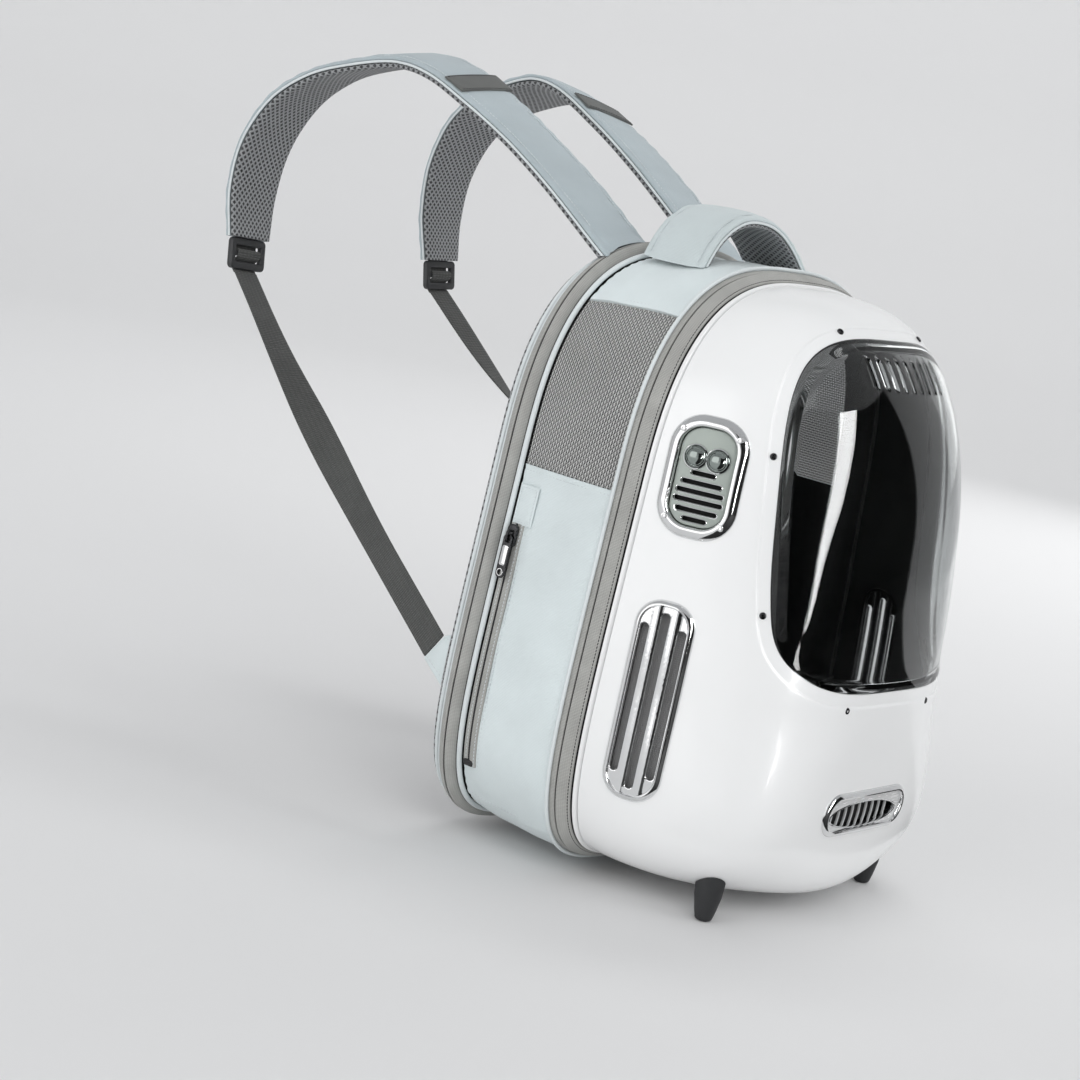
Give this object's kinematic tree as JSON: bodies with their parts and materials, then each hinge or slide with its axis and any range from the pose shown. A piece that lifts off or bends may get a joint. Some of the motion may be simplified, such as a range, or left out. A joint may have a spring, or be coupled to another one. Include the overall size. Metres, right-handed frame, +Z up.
{
  "type": "pet carrier backpack",
  "caption": "Backpack with a hard domed front shell, smoked viewing window, air vents and padded straps, for carrying a small pet on the back.",
  "frame": {"origin": "centre of the flat back face that lies against the wearer's back, 235 mm over the underside of the gusset", "axes": "+Z up as worn, +Y out of the back face towards the wearer, +X to the right when the domed front is looked at"},
  "size_m": [0.3726, 0.6345, 0.5805],
  "materials": {
    "shell": "glossy white moulding",
    "smoked": "clear smoked polycarbonate",
    "chrome": "bright chrome plating",
    "plate": "satin grey-green",
    "rubber": "matt black",
    "cloth": "coated pale ice-blue cloth",
    "mesh": "grey coated woven mesh",
    "tape": "warm grey zip tape",
    "piping": "pale piping",
    "webbing": "dark grey ribbed webbing",
    "air_mesh": "grey spacer mesh",
    "plastic": "black moulding",
    "steel": "gunmetal"
  },
  "bodies": {
    "carrier": {"front_shell": "shell", "window": "smoked", "window_screw_1": "steel", "window_screw_2": "steel", "window_screw_3": "steel", "window_screw_4": "steel", "window_screw_5": "steel", "window_screw_6": "steel", "window_screw_7": "steel", "window_screw_8": "steel", "module_bezel": "chrome", "module_plate": "plate", "bezel_screw_1": "steel", "bezel_screw_2": "steel", "bezel_screw_3": "steel", "bezel_screw_4": "steel", "vent_left": "chrome", "vent_right": "chrome", "front_vent_bezel": "chrome", "front_vent_louvres": "plastic", "foot_left": "rubber", "foot_right": "rubber", "front_zip": "tape", "rear_zip": "tape", "front_piping": "piping", "rear_piping": "piping", "gusset_top": "cloth", "mesh_panel_left": "mesh", "mesh_panel_right": "mesh", "gusset_left": "cloth", "gusset_right": "cloth", "gusset_bottom": "cloth", "back_panel": "air_mesh", "strap_left": "cloth", "strap_right": "cloth", "strap_pad_left": "air_mesh", "strap_pad_right": "air_mesh", "strap_band_left": "webbing", "strap_band_right": "webbing", "adjuster_left": "plastic", "adjuster_right": "plastic", "webbing_left": "webbing", "webbing_right": "webbing", "strap_tab_left": "cloth", "strap_tab_right": "cloth", "carry_handle": "cloth", "carry_handle_pad": "air_mesh", "pocket_zip": "tape", "pocket_slider": "steel", "front_zip_slider": "steel", "rear_zip_slider": "steel"},
    "fan_button": {"button_fan": "chrome"},
    "light_button": {"button_light": "chrome"},
    "zip_pull": {"pocket_pull": "steel"}
  },
  "joints": [
    {"name": "fan_button_press", "type": "slide", "parent": "carrier", "child": "fan_button", "axis": [0.9358, 0.3471, -0.0611], "range_m": [0, 0.0015], "stiffness_N_per_m": 600, "springref_m": -0.0005},
    {"name": "light_button_press", "type": "slide", "parent": "carrier", "child": "light_button", "axis": [0.9358, 0.3471, -0.0611], "range_m": [0, 0.0015], "stiffness_N_per_m": 600, "springref_m": -0.0005},
    {"name": "pull_swing", "type": "hinge", "parent": "carrier", "child": "zip_pull", "pos_m": [-0.17681, -0.043, -0.00465], "axis": [0, 1, 0], "range_deg": [0, 165]}
  ]
}
